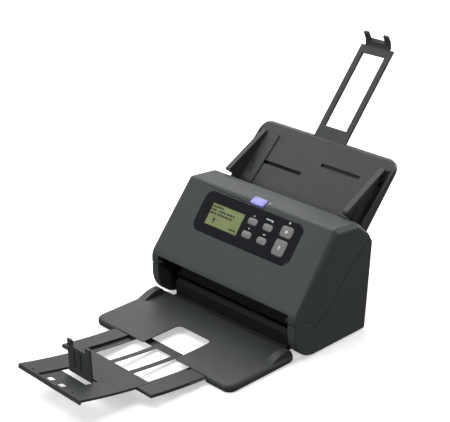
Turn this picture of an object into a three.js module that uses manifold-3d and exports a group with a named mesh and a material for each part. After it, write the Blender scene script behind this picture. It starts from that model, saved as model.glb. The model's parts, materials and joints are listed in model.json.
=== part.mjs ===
// Sheet-fed document scanner: a compact desktop machine that takes sheets from a sloping tray at
// the back and lays them on a tray at the front.
//
// Units are millimetres, +Z is up, +X is the user's right and -Y faces the user. Profiles are drawn
// in (y, z) with y = 0 at the body's rear bottom edge. The whole machine is then moved along Y, so
// that the origin is under the middle of everything, trays and extensions included.
//
// Two inclined frames are used as well. In each, the local Y runs up the incline and Z is its normal:
//   paper path  (s, h): the plane that a sheet lies in, from the feed tray through the body
//   slope       (u, v): the sloping front face that carries the control panel

import * as THREE from 'three';
import { mergeVertices } from 'three/addons/utils/BufferGeometryUtils.js';
import Module from 'manifold-3d';

const wasm = await Module();
wasm.setup();

// ---------- driving dimensions ----------

const CENTRE_SHIFT = 119.3;
const WALL = 3;
const GAP = 0.3;
const SEAM = 0.4;

const BODY_HALF_WIDTH = 140;
const LEG_INNER = 126.5;
const PLATE_INNER = 121.5;
const GUIDE_HALF = 113;
const BASE_Z = 1.5;

const LIP = [-131.4, 73.6];
const CREASE = [-59.1, 163.3];
const RIDGE = [-13.8, 158.9];
const REAR_TOP = [12.1, 125.6];
const SLOPE_LENGTH = Math.hypot(CREASE[0] - LIP[0], CREASE[1] - LIP[1]);
const SLOPE_ANGLE = Math.atan2(CREASE[1] - LIP[1], CREASE[0] - LIP[0]);
const SEAM_LINE = [
  [8, 133.6], [-23, 110.2], [-51.5, 79.9], [-79.9, 51.2], [-98.7, 41], [-104.3, 48.3], [-119.1, 54.6],
];

const FRONT_Y = -135.5;
const KNUCKLE_Z = 56.5;
const CHIN = { centre: [-111.5, 60], r: 24 };
const TOE = { centre: [-99, 38], r: 36.5 };
const KNUCKLE_R = 4.4;
const HINGE = [FRONT_Y + KNUCKLE_R, KNUCKLE_Z];
const PIN_R = 1.9;

const PATH_ORIGIN = [-2.7, 152.3];
const PATH_ANGLE = THREE.MathUtils.degToRad(48.6);
const SHEET_HALF = 105;

const TRAY_HALF = 125.5;
const TRAY_LENGTH = 101;
const TRAY_TOP_LOW = -11;
const TRAY_TOP_HIGH = -20.5;
const TRAY_UNDER = -27;
const RACK_LEVEL = [-20.7, -18.9];
const RACK_OFFSET = 8;
const RACK_MODULE = 1;
const PINION_TEETH = 16;
const PINION_S = 50;
const EXTENSION_LEVEL = [-24.9, -21.2];

const EJECT_FRONT = -246;
const EJECT_TOP = 11;
const EJECT_DECK = 1.4;
const EJECT_HALF = 134;
const ARC_R = 1080;
const ARC_CENTRE = [-150, ARC_R + 5];
const STAGE1_THICK = 4.6;
const STAGE2_THICK = 3.3;
const STAGE1 = { half: 89.6, front: -333, rear: -222 };
const STAGE2 = { half: 62.5, front: -418, rear: -312 };
const STOPPER_PIVOT_Y = -370;
const STOPPER_HALF = 22.5;
const STOPPER_HEIGHT = 45;

const PANEL = { half: 92, low: 47, high: 107, corner: 13, thick: 2, proud: 0.4 };
const LCD = { x: -42.5, u: 76, width: 63, height: 32 };
const BUTTONS = [
  { name: 'button_up', x: 6.4, u: 86.5, width: 17.4, height: 9.4, corner: 4 },
  { name: 'button_menu', x: 34.6, u: 86.5, width: 17.4, height: 9.4, corner: 4 },
  { name: 'button_down', x: 6.4, u: 67.1, width: 17.4, height: 9.4, corner: 4 },
  { name: 'button_ok', x: 34.6, u: 67.1, width: 17.4, height: 9.4, corner: 4 },
  { name: 'button_stop', x: 67.5, u: 90.3, width: 21, height: 15.4, corner: 4 },
  { name: 'button_start', x: 67.5, u: 67.5, width: 21, height: 22, corner: 4 },
];

const ROLLER_SHAFT_R = 2.5;
const BELT_X = [-120.3, -115.3];
const LOWER_ROLLERS = {
  feed: { s: -28, r: 9, pulley: 7, tyres: [[-24, -4], [4, 24]] },
  registration: { s: -58, r: 7, pulley: 5.5, tyres: [[-92, -66], [-40, -14], [14, 40], [66, 92]] },
  eject: { s: -118, r: 7, pulley: 7, tyres: [[-92, -66], [-40, -14], [14, 40], [66, 92]] },
};
const UPPER_ROLLERS = {
  retard: { s: -28, r: 9, tyres: [[-22, 22]] },
  registration_pinch: { s: -58, r: 6, tyres: [[-90, -68], [-38, -16], [16, 38], [68, 90]] },
  eject_pinch: { s: -118, r: 6, tyres: [[-90, -68], [-38, -16], [16, 38], [68, 90]] },
};
const ROLLER_GAP = 0.3;
const SCAN_UNIT = { s: [-96, -74], depth: 15, half: 111 };

const FINISH = {
  casing: { color: 0x55595b, roughness: 0.62, metalness: 0 },
  dark: { color: 0x3b3f40, roughness: 0.7, metalness: 0 },
  black: { color: 0x1b1d1f, roughness: 0.5, metalness: 0 },
  gloss: { color: 0x14161a, roughness: 0.12, metalness: 0 },
  key: { color: 0x8c8f90, roughness: 0.45, metalness: 0 },
  lens: { color: 0xb9b4f2, roughness: 0.25, metalness: 0 },
  screen: { color: 0xaeb57c, roughness: 0.2, metalness: 0 },
  rubber: { color: 0x202020, roughness: 0.9, metalness: 0 },
  steel: { color: 0xb4b7ba, roughness: 0.3, metalness: 1 },
  glass: { color: 0x7d8f92, roughness: 0.05, metalness: 0 },
  board: { color: 0x1f5b3a, roughness: 0.6, metalness: 0 },
};

// ---------- solids ----------

function toSolid(geometry) {
  const bare = geometry.clone();
  bare.deleteAttribute('normal');
  bare.deleteAttribute('uv');
  const merged = mergeVertices(bare, 1e-4);
  return new wasm.Manifold(new wasm.Mesh({
    numProp: 3,
    vertProperties: new Float32Array(merged.attributes.position.array),
    triVerts: new Uint32Array(merged.index.array),
  }));
}

function toGeometry(solid) {
  const mesh = solid.getMesh();
  const geometry = new THREE.BufferGeometry();
  const positions = new Float32Array(mesh.numVert * 3);
  for (let i = 0; i < mesh.numVert; i += 1) {
    for (let axis = 0; axis < 3; axis += 1) {
      positions[3 * i + axis] = mesh.vertProperties[i * mesh.numProp + axis];
    }
  }
  geometry.setAttribute('position', new THREE.BufferAttribute(positions, 3));
  geometry.setIndex(new THREE.BufferAttribute(new Uint32Array(mesh.triVerts), 1));
  geometry.computeVertexNormals();
  return geometry;
}

const join = (...solids) => solids.reduce((whole, next) => whole.add(next));
const cut = (solid, ...tools) => tools.reduce((rest, tool) => rest.subtract(tool), solid);

function outline(points) {
  return new THREE.Shape(points.map(([a, b]) => new THREE.Vector2(a, b)));
}

function roundedRect(width, height, corner, x = 0, y = 0) {
  const shape = new THREE.Shape();
  const [left, right] = [x - width / 2, x + width / 2];
  const [low, high] = [y - height / 2, y + height / 2];
  shape.moveTo(left + corner, low);
  shape.lineTo(right - corner, low);
  shape.absarc(right - corner, low + corner, corner, -Math.PI / 2, 0);
  shape.lineTo(right, high - corner);
  shape.absarc(right - corner, high - corner, corner, 0, Math.PI / 2);
  shape.lineTo(left + corner, high);
  shape.absarc(left + corner, high - corner, corner, Math.PI / 2, Math.PI);
  shape.lineTo(left, low + corner);
  shape.absarc(left + corner, low + corner, corner, Math.PI, 1.5 * Math.PI);
  return shape;
}

// A shape in the plane of local X and Y, pushed from z0 to z1.
function slab(shape, z0, z1, bevel = 0, curveSegments = 5) {
  const geometry = new THREE.ExtrudeGeometry(shape, {
    depth: z1 - z0 - 2 * bevel,
    bevelEnabled: bevel > 0,
    bevelThickness: bevel,
    bevelSize: bevel,
    bevelOffset: -bevel,
    bevelSegments: 3,
    curveSegments,
  });
  geometry.translate(0, 0, z0 + bevel);
  return toSolid(geometry);
}

// A profile in (y, z), pushed along X from x0 to x1.
function prismX(points, x0, x1, bevel = 0) {
  const turned = new THREE.Matrix4().makeBasis(
    new THREE.Vector3(0, 1, 0), new THREE.Vector3(0, 0, 1), new THREE.Vector3(1, 0, 0),
  );
  const geometry = new THREE.ExtrudeGeometry(outline(points), {
    depth: x1 - x0 - 2 * bevel,
    bevelEnabled: bevel > 0,
    bevelThickness: bevel,
    bevelSize: bevel,
    bevelOffset: -bevel,
    bevelSegments: 3,
    curveSegments: 4,
  });
  geometry.translate(0, 0, x0 + bevel);
  geometry.applyMatrix4(turned);
  return toSolid(geometry);
}

function box(x0, x1, y0, y1, z0, z1) {
  const geometry = new THREE.BoxGeometry(x1 - x0, y1 - y0, z1 - z0);
  geometry.translate((x0 + x1) / 2, (y0 + y1) / 2, (z0 + z1) / 2);
  return toSolid(geometry);
}

// A body of revolution about a line parallel to X: steps are [x, radius] pairs from left to right.
function turnedX(steps, y, z, segments = 20) {
  const profile = steps.map(([x, radius]) => new THREE.Vector2(radius, x));
  profile.unshift(new THREE.Vector2(0, steps[0][0]));
  profile.push(new THREE.Vector2(0, steps[steps.length - 1][0]));
  const geometry = new THREE.LatheGeometry(profile, segments);
  geometry.rotateZ(-Math.PI / 2);
  geometry.translate(0, y, z);
  return toSolid(geometry);
}

const rodX = (radius, x0, x1, y, z, segments) => turnedX([[x0, radius], [x1, radius]], y, z, segments);

function rodY(radius, x, y0, y1, z) {
  const geometry = new THREE.CylinderGeometry(radius, radius, y1 - y0, 16);
  geometry.translate(x, (y0 + y1) / 2, z);
  return toSolid(geometry);
}

function discZ(radius, x, y, z0, z1, segments = 20) {
  const geometry = new THREE.CylinderGeometry(radius, radius, z1 - z0, segments);
  geometry.rotateX(Math.PI / 2);
  geometry.translate(x, y, (z0 + z1) / 2);
  return toSolid(geometry);
}

function mirrored(solid) {
  return solid.mirror([1, 0, 0]);
}

function arc(centre, radius, from, to, steps) {
  const points = [];
  for (let i = 0; i <= steps; i += 1) {
    const angle = THREE.MathUtils.degToRad(from + ((to - from) * i) / steps);
    points.push([centre[0] + radius * Math.cos(angle), centre[1] + radius * Math.sin(angle)]);
  }
  return points;
}

// ---------- scene graph ----------

const scanner = new THREE.Group();
const machine = new THREE.Group();
machine.position.y = CENTRE_SHIFT;
scanner.add(machine);

const path = new THREE.Group();
path.position.set(0, ...PATH_ORIGIN);
path.rotation.x = PATH_ANGLE;
machine.add(path);

const slope = new THREE.Group();
slope.position.set(0, ...LIP);
slope.rotation.x = SLOPE_ANGLE;
machine.add(slope);

function piece(parent, name, solid, finish) {
  const mesh = new THREE.Mesh(toGeometry(solid), new THREE.MeshStandardMaterial(finish));
  mesh.name = name;
  parent.add(mesh);
}

// Brings a solid drawn in an inclined frame into the machine's frame, to cut a machine part with it.
function fromFrame(solid, frame) {
  const { x, y, z } = frame.position;
  return solid.rotate([THREE.MathUtils.radToDeg(frame.rotation.x), 0, 0]).translate([x, y, z]);
}

function pathPoint(s, h) {
  return [
    PATH_ORIGIN[0] + s * Math.cos(PATH_ANGLE) - h * Math.sin(PATH_ANGLE),
    PATH_ORIGIN[1] + s * Math.sin(PATH_ANGLE) + h * Math.cos(PATH_ANGLE),
  ];
}

// ---------- outlines of the two halves of the body ----------

const raised = (points, dz) => points.map(([y, z]) => [y, z + dz]);

function frontUnitOutline() {
  const knuckle = arc(HINGE, KNUCKLE_R, 180, 340, 8);
  const chin = arc(CHIN.centre, CHIN.r, 90 + THREE.MathUtils.radToDeg(SLOPE_ANGLE), 180, 5);
  return [
    ...knuckle,
    ...raised([...SEAM_LINE].reverse(), SEAM),
    [4.6, 138.8],
    RIDGE,
    CREASE,
    ...chin,
  ];
}

function baseOutline() {
  const toe = arc(TOE.centre, TOE.r, 180, 270, 8);
  const socket = arc(HINGE, KNUCKLE_R + 0.6, 332, 222, 6);
  return [
    ...toe,
    [-1, BASE_Z],
    REAR_TOP,
    [9.5, 130.6],
    ...raised(SEAM_LINE, -SEAM),
    ...socket,
    [FRONT_Y, KNUCKLE_Z - 4.3],
  ];
}

// ---------- base: covers, frame, feet ----------

function sideCover() {
  const hollow = [[-96, 6], [-4.5, 6], [7.5, 121], [-20, 104], [-48, 74.5], [-77, 46], [-98, 35]];
  return cut(
    prismX(baseOutline(), LEG_INNER, BODY_HALF_WIDTH),
    prismX(hollow, LEG_INNER - 1, BODY_HALF_WIDTH - WALL),
  );
}

function rearCover() {
  const half = LEG_INNER - GAP;
  const wall = prismX([[-4, BASE_Z], [-1, BASE_Z], REAR_TOP, [10.5, 126.3], [8.7, 124.5]], -half, half);
  return cut(
    wall,
    box(-93.4, -79.6, -20, 20, 15.6, 29.4),
    box(-65.4, -50.6, -20, 20, 16.6, 30.4),
  );
}

function baseFrame() {
  const half = LEG_INNER - GAP;
  const pan = box(-half, half, -96, -4.5, 1.8, 4.8);
  const nose = box(-110, 110, -118, -95, 1.8, 4.8);
  const frontWall = prismX([[-118, 2], [-118, 25.5], [-113, 31], [-110, 31], [-110, 2]], -110, 110);
  const sideProfile = [
    ...arc(HINGE, KNUCKLE_R, 100, 230, 5),
    [-118, 40], [-105, 14], [-95, 2], [-4.5, 2], [6, 120], [-1, 123],
    pathPoint(-30, -1.2), pathPoint(-128, -1.2), [-105, 45.8], [-118, 52],
  ];
  let plate = prismX(sideProfile, PLATE_INNER, half);
  for (const roller of Object.values(LOWER_ROLLERS)) {
    const [y, z] = pathPoint(roller.s, -roller.r - ROLLER_GAP);
    plate = cut(plate, rodX(ROLLER_SHAFT_R + 0.6, PLATE_INNER - 1, half + 1, y, z));
  }
  plate = cut(plate, rodX(PIN_R + GAP, PLATE_INNER - 1, half + 1, ...HINGE, 12));
  return join(pan, nose, frontWall, plate, mirrored(plate));
}

function foot(x, y) {
  return discZ(8, x, y, 0, 1.5, 20);
}

for (const [name, side] of [['side_cover_right', 1], ['side_cover_left', -1]]) {
  const solid = sideCover();
  piece(machine, name, side > 0 ? solid : mirrored(solid), FINISH.casing);
}
piece(machine, 'rear_cover', rearCover(), FINISH.casing);
piece(machine, 'base_frame', baseFrame(), FINISH.dark);
for (const [row, y] of [['front', -84], ['rear', -16]]) {
  for (const [side, x] of [['left', -104], ['right', 104]]) {
    piece(machine, `foot_${row}_${side}`, foot(x, y), FINISH.rubber);
  }
}
for (const [name, side] of [['hinge_pin_right', 1], ['hinge_pin_left', -1]]) {
  const solid = rodX(PIN_R, PLATE_INNER + 0.5, BODY_HALF_WIDTH - 4, ...HINGE, 12);
  piece(machine, name, side > 0 ? solid : mirrored(solid), FINISH.steel);
}

// ---------- base: electrics at the back ----------

piece(machine, 'dc_jack', join(
  cut(box(-93, -80, -16, 0.4, 16, 29), rodY(4, -86.5, -14, 5, 22.5)),
  rodY(1, -86.5, -15, -9, 22.5),
), FINISH.black);
piece(machine, 'usb_port', cut(
  box(-65, -51, -18, 0.4, 17, 30),
  box(-63.5, -52.5, -14, 5, 18.5, 28.5),
), FINISH.steel);
piece(machine, 'main_board', box(-100, 20, -90, -22, 9, 10.6), FINISH.board);

// ---------- base: paper path ----------

function rollerWindows(rollers, h0, h1, room) {
  const windows = [];
  for (const roller of Object.values(rollers)) {
    const reach = Math.sqrt(roller.r ** 2 - (roller.r - 4) ** 2) + room;
    for (const [x0, x1] of roller.tyres) {
      windows.push(box(x0 - room, x1 + room, roller.s - reach, roller.s + reach, h0, h1));
    }
  }
  return windows;
}

function lowerGuide() {
  const profile = [
    [-160, 4.5], [-160, 1.5], [-146, -2.2], [-125, -4], [-5.5, -4], [0.6, -9.8], [0.6, -7.2], [-4.5, -1.4],
    [-125, -1.4], [-145, 0.6],
  ];
  return cut(
    prismX(profile, -GUIDE_HALF, GUIDE_HALF),
    ...rollerWindows(LOWER_ROLLERS, -8, 2, 1.2),
    box(-SCAN_UNIT.half - 1, SCAN_UNIT.half + 1, SCAN_UNIT.s[0] - 1, SCAN_UNIT.s[1] + 1, -8, 2),
  );
}

function scanUnit(side) {
  const [near, far] = [1.6, 1.6 + SCAN_UNIT.depth];
  const levels = side > 0 ? [near + 0.9, far] : [-far, -near - 0.9];
  return box(-SCAN_UNIT.half, SCAN_UNIT.half, ...SCAN_UNIT.s, ...levels);
}

function scanGlass(side) {
  const levels = side > 0 ? [1, 2.2] : [-2.2, -1];
  return box(-SCAN_UNIT.half + 2, SCAN_UNIT.half - 2, SCAN_UNIT.s[0] + 1, SCAN_UNIT.s[1] - 1, ...levels);
}

// One shaft with its tyres. The ends step down to the radius that turns in the bearings.
function roller({ r, tyres }, reach, s, h) {
  const steps = [[-reach, ROLLER_SHAFT_R]];
  for (const [x0, x1] of tyres) {
    steps.push([x0, ROLLER_SHAFT_R], [x0, r], [x1, r], [x1, ROLLER_SHAFT_R]);
  }
  steps.push([reach, ROLLER_SHAFT_R]);
  return turnedX(steps, s, h);
}

function pulley({ pulley: r }, s, h) {
  const [x0, x1] = BELT_X;
  const rim = turnedX([
    [x0 - 0.2, r + 1], [x0 + 0.4, r + 1], [x0 + 0.4, r], [x1 - 0.4, r], [x1 - 0.4, r + 1], [x1 + 0.2, r + 1],
  ], s, h, 24);
  return cut(rim, rodX(ROLLER_SHAFT_R + GAP, x0 - 2, x1 + 2, s, h));
}

const MOTOR = { y: -52, z: 34, r: 17, pulley: 5 };

// The belt runs round the motor pulley and over the feed, registration and eject pulleys.
function driveBelt() {
  const wheels = [
    ...['feed', 'eject'].map((name) => {
      const wheel = LOWER_ROLLERS[name];
      return { centre: pathPoint(wheel.s, -wheel.r - ROLLER_GAP), r: wheel.pulley };
    }),
    { centre: [MOTOR.y, MOTOR.z], r: MOTOR.pulley },
  ];
  const loop = (extra) => {
    const points = [];
    wheels.forEach((wheel, i) => {
      const before = wheels[(i + wheels.length - 1) % wheels.length];
      const after = wheels[(i + 1) % wheels.length];
      const from = tangentAngle(before, wheel);
      let to = tangentAngle(wheel, after);
      if (to < from) to += 360;
      points.push(...arc(wheel.centre, wheel.r + extra, from, to, 8));
    });
    return points;
  };
  const [x0, x1] = BELT_X;
  return cut(prismX(loop(1.5), x0 + 0.8, x1 - 0.8), prismX(loop(GAP), x0 - 1, x1 + 1));
}

// The direction, from a wheel's centre, of the point where an outside tangent to the next wheel leaves.
function tangentAngle(a, b) {
  const dy = b.centre[0] - a.centre[0];
  const dz = b.centre[1] - a.centre[1];
  const along = Math.atan2(dz, dy);
  const lean = Math.acos((a.r - b.r) / Math.hypot(dy, dz));
  return THREE.MathUtils.radToDeg(along - lean);
}

piece(path, 'lower_guide', lowerGuide(), FINISH.black);
piece(path, 'lower_scan_unit', scanUnit(-1), FINISH.dark);
piece(path, 'lower_glass', scanGlass(-1), FINISH.glass);
for (const [name, spec] of Object.entries(LOWER_ROLLERS)) {
  const h = -spec.r - ROLLER_GAP;
  piece(path, `${name}_roller`, roller(spec, 124, spec.s, h), FINISH.rubber);
  piece(path, `${name}_pulley`, pulley(spec, spec.s, h), FINISH.dark);
}
piece(machine, 'drive_motor', turnedX(
  [[-108, 3], [-104, 3], [-104, MOTOR.r], [-70, MOTOR.r]], MOTOR.y, MOTOR.z, 24,
), FINISH.steel);
piece(machine, 'motor_pulley', turnedX([
  [BELT_X[0] - 0.2, 6], [BELT_X[0] + 0.4, 6], [BELT_X[0] + 0.4, 5], [BELT_X[1] - 0.4, 5],
  [BELT_X[1] - 0.4, 6], [BELT_X[1] + 0.2, 6], [BELT_X[1] + 0.2, 2.4], [-108.4, 2.4],
], MOTOR.y, MOTOR.z), FINISH.steel);
piece(machine, 'drive_belt', driveBelt(), FINISH.rubber);

// ---------- front unit: swings forward about the hinge ----------

function panelOutline(margin) {
  return roundedRect(
    2 * (PANEL.half + margin), PANEL.high - PANEL.low + 2 * margin, PANEL.corner + margin,
    0, (PANEL.high + PANEL.low) / 2,
  );
}

function buttonHole({ x, u, width, height, corner }, margin, v0, v1) {
  return slab(roundedRect(width + 2 * margin, height + 2 * margin, corner + margin, x, u), v0, v1);
}

const LENS = { half: 12.5, reach: 6.5, depth: 4 };
const lensFrame = new THREE.Group();
lensFrame.position.set(0, ...CREASE);
lensFrame.rotation.x = SLOPE_ANGLE / 2 - THREE.MathUtils.degToRad(2.8);
machine.add(lensFrame);

function lensBlock(margin, z0, z1) {
  return slab(roundedRect(2 * (LENS.half + margin), 2 * (LENS.reach + margin), 3, 0, 0), z0, z1);
}

function frontCover() {
  const profile = frontUnitOutline();
  const outer = prismX(profile, -BODY_HALF_WIDTH, BODY_HALF_WIDTH);
  const inner = BODY_HALF_WIDTH - WALL;
  const chamber = prismX([
    [-127, 77], [-57.5, 160.2], [-16, 156], [-2, 139], [-20, 114], [-50, 83], [-78, 54], [-96, 43.5],
    [-100, 50], [-115, 66],
  ], -inner, inner);
  const mouth = prismX([
    [-150, 40], [-150, 66.5], [-127.5, 66.5], [-124, 70], [-110, 90], [-60, 110], [-60, 60], [-99, 30],
  ], -LEG_INNER, LEG_INNER);
  const underside = prismX([
    [-112, 48], [-98, 70], [-70, 100], [-30, 135], [-18, 150], [10, 150], [20, 120], [-60, 40], [-100, 25],
  ], -inner, inner);
  const throat = prismX([
    [-13.4, 180], [-13.4, 140], [0, 90], [60, 90], [60, 180],
  ], -TRAY_HALF - 2.5, TRAY_HALF + 2.5);
  const slopeCuts = [
    slab(panelOutline(GAP), PANEL.proud - PANEL.thick - GAP, 10, 0, 5),
    slab(roundedRect(LCD.width, LCD.height, 1, LCD.x, LCD.u), -20, 10),
    ...BUTTONS.map((button) => buttonHole(button, 0.9, -20, 10)),
  ].map((tool) => fromFrame(tool, slope));
  const lensHole = fromFrame(lensBlock(0.4, -12, 10), lensFrame);
  const pinHole = rodX(PIN_R + GAP, -BODY_HALF_WIDTH + 3.5, BODY_HALF_WIDTH - 3.5, ...HINGE, 12);
  const leverHole = box(-BODY_HALF_WIDTH - 1, -BODY_HALF_WIDTH + 12, -31.8, -8, 131.5, 145.5);
  return cut(outer, chamber, mouth, underside, throat, ...slopeCuts, lensHole, pinHole, leverHole);
}

function upperGuide() {
  const sheet = prismX([
    [-4, 1.6], [-4, 3.4], [-122, 3.4], [-137, 6], [-141, 11], [-141, 34], [-143, 34], [-143.2, 10],
    [-139, 4], [-122, 1.6],
  ], -GUIDE_HALF, GUIDE_HALF);
  let cheek = prismX([[-126, 2], [-14, 2], [-14, 14], [-126, 14]], GUIDE_HALF - 0.5, GUIDE_HALF + 2.5);
  for (const { s, r } of Object.values(UPPER_ROLLERS)) {
    cheek = cut(cheek, rodX(ROLLER_SHAFT_R + 0.6, GUIDE_HALF - 2, GUIDE_HALF + 4, s, r + ROLLER_GAP));
  }
  return cut(
    join(sheet, cheek, mirrored(cheek)),
    ...rollerWindows(UPPER_ROLLERS, -2, 8, 1.2),
    box(-SCAN_UNIT.half - 1, SCAN_UNIT.half + 1, SCAN_UNIT.s[0] - 1, SCAN_UNIT.s[1] + 1, -2, 8),
  );
}

function controlPanel() {
  const plate = slab(panelOutline(0), PANEL.proud - PANEL.thick, PANEL.proud, 0, 6);
  const lcdHole = slab(roundedRect(LCD.width, LCD.height, 1, LCD.x, LCD.u), -10, 10);
  return cut(plate, lcdHole, ...BUTTONS.map((button) => buttonHole(button, 0.5, -10, 10)));
}

piece(machine, 'front_cover', frontCover(), FINISH.casing);
piece(path, 'upper_guide', upperGuide(), FINISH.black);
piece(path, 'upper_scan_unit', scanUnit(1), FINISH.dark);
piece(path, 'upper_glass', scanGlass(1), FINISH.glass);
for (const [name, spec] of Object.entries(UPPER_ROLLERS)) {
  piece(path, `${name}_roller`, roller(spec, 117, spec.s, spec.r + ROLLER_GAP), FINISH.rubber);
}
piece(slope, 'control_panel', controlPanel(), FINISH.gloss);
piece(slope, 'lcd_display', slab(
  roundedRect(LCD.width - 0.8, LCD.height - 0.8, 0.8, LCD.x, LCD.u), -3.6, -0.6,
), FINISH.screen);
piece(slope, 'panel_board', slab(
  roundedRect(2 * PANEL.half - 14, PANEL.high - PANEL.low - 12, 3, 0, (PANEL.high + PANEL.low) / 2), -7.6, -6,
), FINISH.board);
for (const button of BUTTONS) {
  piece(slope, button.name, slab(
    roundedRect(button.width, button.height, button.corner, button.x, button.u), -4.4, 1.7,
  ), FINISH.key);
}
piece(lensFrame, 'power_button', lensBlock(0, -LENS.depth, 0.3), FINISH.lens);
piece(machine, 'open_lever', box(
  -BODY_HALF_WIDTH + 0.6, -BODY_HALF_WIDTH + 9, -30, -9, 132.5, 144.5,
), FINISH.dark);

// ---------- feed tray, guides and extension, in the frame of the paper path ----------

const trayTop = (s) => TRAY_TOP_LOW + ((TRAY_TOP_HIGH - TRAY_TOP_LOW) * s) / TRAY_LENGTH;

// The tray seen square on: straight at the bottom, with two large round corners at the top.
function trayPlan() {
  const corner = 17;
  const plan = new THREE.Shape();
  plan.moveTo(-TRAY_HALF, -3);
  plan.lineTo(TRAY_HALF, -3);
  plan.lineTo(TRAY_HALF, TRAY_LENGTH - corner);
  plan.absarc(TRAY_HALF - corner, TRAY_LENGTH - corner, corner, 0, Math.PI / 2);
  plan.lineTo(-TRAY_HALF + corner, TRAY_LENGTH);
  plan.absarc(-TRAY_HALF + corner, TRAY_LENGTH - corner, corner, Math.PI / 2, Math.PI);
  return plan;
}

function feedTray() {
  const block = slab(trayPlan(), -25.1, 0, 0, 6);
  const side = prismX([
    [-3, trayTop(-3)], [TRAY_LENGTH - 4, trayTop(TRAY_LENGTH - 4)], [TRAY_LENGTH, TRAY_TOP_HIGH - 2],
    [TRAY_LENGTH, -28], [-3, -28],
  ], -TRAY_HALF, TRAY_HALF);
  const inside = prismX([
    [-10, trayTop(-10) - 1.8], [TRAY_LENGTH - 3, trayTop(TRAY_LENGTH - 3) - 1.2],
    [TRAY_LENGTH - 3, -30], [-10, -30],
  ], -TRAY_HALF + 17, TRAY_HALF - 17);
  const sidePocket = box(-TRAY_HALF + 3, TRAY_HALF - 3, -10, TRAY_LENGTH - 17, -30, -21);
  const exit = box(-31, 31, TRAY_LENGTH - 8, TRAY_LENGTH + 5, -30, EXTENSION_LEVEL[1] + 0.2);
  const slots = [1, -1].map((way) => {
    const s = PINION_S + way * (RACK_OFFSET + 3.2);
    return box(way > 0 ? 12 : -121, way > 0 ? 121 : -12, s - 2.6, s + 2.6, -40, 0);
  });
  const tongues = box(-TRAY_HALF + 4.5, TRAY_HALF - 4.5, PINION_S - 14.5, PINION_S + 14.5, -21.1, -18.6);
  return cut(block.intersect(side), inside, sidePocket, exit, ...slots, tongues);
}

function feedTrayUnderside() {
  return slab(trayPlan(), TRAY_UNDER, -25.4, 0, 6);
}

// A guide fin: tall where sheets enter the body and low at the top, with a pocket in its outer side.
function feedGuide(neckSide) {
  const [inner, outer] = [SHEET_HALF + 1.5, SHEET_HALF + 11];
  const fin = prismX([
    [1.8, trayTop(1.8) + 0.4], [83, trayTop(83) + 0.4], [83, -15.4], [81, -13],
    [5, 16.6], [3, 16.4], [1.8, 14.5],
  ], inner, outer);
  const pocket = prismX([[0, -8.5], [73, -15.6], [73, -13.4], [0, 14.6]], inner + 2.2, outer + 1);
  const rib = prismX([[1.8, 0], [66, -13.4], [66, -12], [1.8, 3]], inner + 1, outer - 1.5);
  const flange = prismX([
    [1.8, trayTop(1.8) + 0.4], [83, trayTop(83) + 0.4], [83, trayTop(83) + 1.8], [1.8, trayTop(1.8) + 1.8],
  ], inner - 24, inner + 1);
  const s = PINION_S + neckSide * (RACK_OFFSET + 3.2);
  const neck = box(inner - 1, inner + 5, s - 2, s + 2, RACK_LEVEL[1] + 0.3, trayTop(s) + 1);
  return join(cut(fin, pocket), rib, flange, neck);
}

const TOOTH_PITCH = Math.PI * RACK_MODULE;

// A straight rack along X with its teeth towards lower s, on the pitch line s = PINION_S + RACK_OFFSET.
function guideRack() {
  const pitchLine = PINION_S + RACK_OFFSET;
  const [inner, outer] = [-16, SHEET_HALF + 8];
  const points = [[outer, pitchLine + 6.4], [inner, pitchLine + 6.4], [inner, pitchLine + 1.3]];
  const teeth = Math.floor((86 - inner) / TOOTH_PITCH);
  for (let i = 1; i < teeth; i += 1) {
    const x = -0.5 * TOOTH_PITCH + TOOTH_PITCH * (i + Math.round(inner / TOOTH_PITCH));
    points.push([x - 1.05, pitchLine + 1.3], [x - 0.36, pitchLine - 0.8]);
    points.push([x + 0.36, pitchLine - 0.8], [x + 1.05, pitchLine + 1.3]);
  }
  points.push([88, pitchLine + 1.3], [outer, pitchLine + 1.3]);
  return slab(outline(points), ...RACK_LEVEL);
}

// An involute pinion about the path normal, in mesh with both racks.
function guidePinion() {
  const pitchR = (RACK_MODULE * PINION_TEETH) / 2;
  const baseR = pitchR * Math.cos(THREE.MathUtils.degToRad(20));
  const involute = (r) => {
    const t = Math.sqrt(Math.max((r / baseR) ** 2 - 1, 0));
    return t - Math.atan(t);
  };
  const halfAtPitch = Math.PI / 2 / PINION_TEETH - 0.014;
  const radii = [pitchR - 1.15, baseR, pitchR, pitchR + 0.8];
  const points = [];
  for (let i = 0; i < PINION_TEETH; i += 1) {
    const middle = (2 * Math.PI * i) / PINION_TEETH + Math.PI / 2;
    const half = (r) => halfAtPitch + involute(pitchR) - involute(Math.max(r, baseR));
    for (const r of radii) points.push([r, middle - half(r)]);
    for (const r of [...radii].reverse()) points.push([r, middle + half(r)]);
  }
  const rim = outline(points.map(([r, angle]) => [r * Math.cos(angle), PINION_S + r * Math.sin(angle)]));
  return slab(rim, ...RACK_LEVEL);
}

// The sliding sheet support: a flat bar whose top curves forward into a two-pronged rest.
function feedExtension() {
  const half = 29;
  const [low, high] = EXTENSION_LEVEL;
  const bar = box(-half, half, 74, 248, low, high);
  const window = box(-half + 9, half - 9, 118, 236, low - 1, high + 1);
  const bend = prismX([
    [246, low], [252, low + 1.5], [258, low + 7], [262, low + 17], [262.5, low + 19.5], [259, low + 19.5],
    [257.5, low + 15], [254, low + 9], [249, low + 4.5], [246, high],
  ], -22, 22);
  const notch = box(-13.5, 13.5, 250, 270, high + 4.5, 10);
  return cut(join(cut(bar, window), bend), notch);
}

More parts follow.
